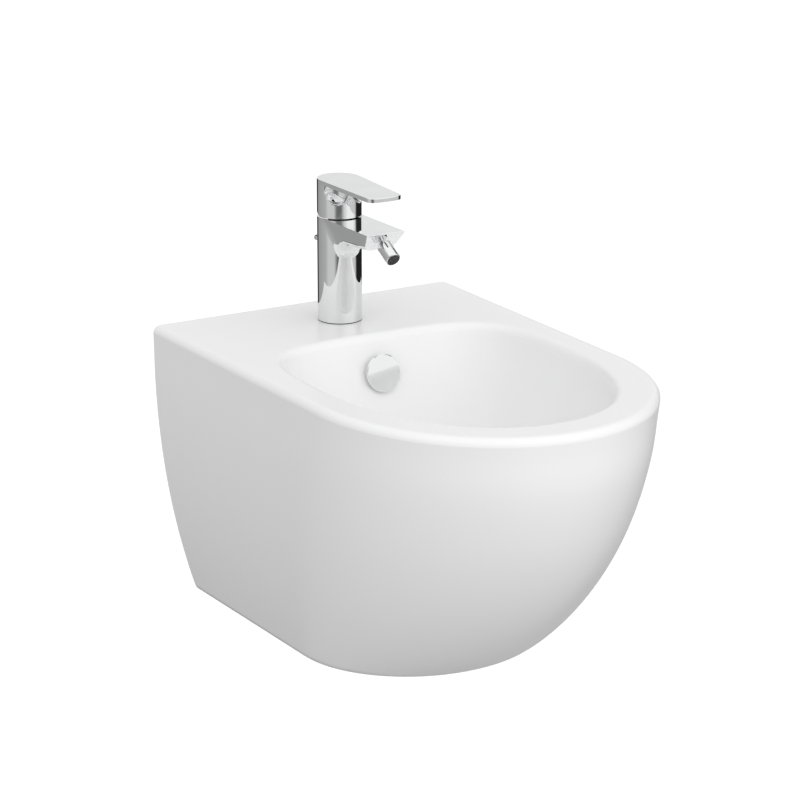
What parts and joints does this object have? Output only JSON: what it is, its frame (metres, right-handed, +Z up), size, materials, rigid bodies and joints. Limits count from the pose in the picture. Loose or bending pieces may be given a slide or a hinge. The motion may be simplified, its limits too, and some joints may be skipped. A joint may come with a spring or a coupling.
{
  "type": "wall-hung bidet",
  "caption": "Wall-hung bidet: hollow ceramic body with a round-fronted bowl, single-lever mixer with a swivel nozzle, overflow cover and pop-up waste worked by a lift rod.",
  "frame": {"origin": "midway between the two wall-fixing holes, on the wall plane", "axes": "+Z up, +Y into the wall, so the bowl stands out along -Y; X runs along the wall"},
  "size_m": [0.36, 0.53, 0.4529],
  "materials": {
    "glaze": "glossy white glaze",
    "chrome_trim": "bright chrome plate",
    "brass": "plain turned brass",
    "steel": "zinc-plated steel",
    "rubber": "black rubber",
    "white_plastic": "moulded white plastic",
    "grey_plastic": "moulded grey plastic",
    "disc_ceramic": "lapped technical ceramic",
    "mesh": "dark moulded screen",
    "indicator": "glossy pale cap"
  },
  "bodies": {
    "bidet": {"ceramic_body": "glaze", "ceramic_bowl": "glaze", "tap_body": "chrome_trim", "overflow_cover": "chrome_trim", "ball_retainer": "chrome_trim", "waste_flange": "chrome_trim", "cartridge_nut": "brass", "waste_tee": "brass", "gland_nut": "brass", "fixing_washers": "steel", "fixing_nuts": "steel", "clamp_stud": "steel", "clamp_plate": "steel", "clamp_nut": "steel", "overflow_clip": "rubber", "base_gasket": "rubber", "clamp_pad": "rubber", "cartridge_seals": "rubber", "ball_seat": "rubber", "flange_seal": "rubber", "waste_gasket": "rubber", "tee_seal": "rubber", "gland_seats": "rubber", "fixing_sleeves": "white_plastic", "cartridge_base": "white_plastic", "cartridge_housing": "white_plastic", "waste_nut": "grey_plastic", "fixed_disc": "disc_ceramic"},
    "rotor": {"rotor": "white_plastic", "pivot_pin": "steel"},
    "disc_carriage": {"disc_driver": "white_plastic", "moving_disc": "disc_ceramic"},
    "lever": {"lever": "chrome_trim", "spindle": "steel", "lever_screw": "steel", "indicator_cap": "indicator"},
    "ball_liner": {"ball_liner": "white_plastic"},
    "nozzle": {"nozzle": "chrome_trim", "aerator_housing": "white_plastic", "aerator_mesh": "mesh", "aerator_seal": "rubber"},
    "lift_rod": {"lift_rod": "chrome_trim", "lift_knob": "chrome_trim", "rod_link": "grey_plastic", "link_screw": "steel"},
    "ball_rod": {"ball_rod": "steel", "rod_ball": "white_plastic"},
    "plug": {"plug": "chrome_trim", "plug_seal": "rubber"}
  },
  "joints": [
    {"name": "temperature_turn", "type": "hinge", "parent": "bidet", "child": "rotor", "pos_m": [0, -0.075, 0.241], "axis": [0, 0, 1], "range_deg": [-45, 45]},
    {"name": "flow_lift", "type": "hinge", "parent": "rotor", "child": "lever", "pos_m": [0, -0.075, 0.241], "axis": [-1, 0, 0], "range_deg": [0, 20]},
    {"name": "disc_slide", "type": "slide", "parent": "rotor", "child": "disc_carriage", "axis": [0, -1, 0], "range_m": [0, 0.0042]},
    {"name": "nozzle_pan", "type": "hinge", "parent": "bidet", "child": "ball_liner", "pos_m": [0, -0.1577, 0.23686], "axis": [0, -0.6097, 0.7926], "range_deg": [-12, 12]},
    {"name": "nozzle_tilt", "type": "hinge", "parent": "ball_liner", "child": "nozzle", "pos_m": [0, -0.1577, 0.23686], "axis": [-1, 0, 0], "range_deg": [-20, 5]},
    {"name": "lift_pull", "type": "slide", "parent": "bidet", "child": "lift_rod", "axis": [0, 0.309, 0.9511], "range_m": [0, 0.022]},
    {"name": "ball_rod_rock", "type": "hinge", "parent": "bidet", "child": "ball_rod", "pos_m": [0, -0.223, -0.115], "axis": [1, 0, 0], "range_deg": [0, 15.14]},
    {"name": "plug_drop", "type": "slide", "parent": "bidet", "child": "plug", "axis": [0, 0, 1], "range_m": [-0.00711, 0]}
  ],
  "couplings": [
    {"joint": "disc_slide", "follows": "flow_lift", "m_per_rad": 0.012},
    {"joint": "ball_rod_rock", "follows": "lift_pull", "rad_per_m": 11.929},
    {"joint": "plug_drop", "follows": "lift_pull", "ratio": -0.32115}
  ]
}
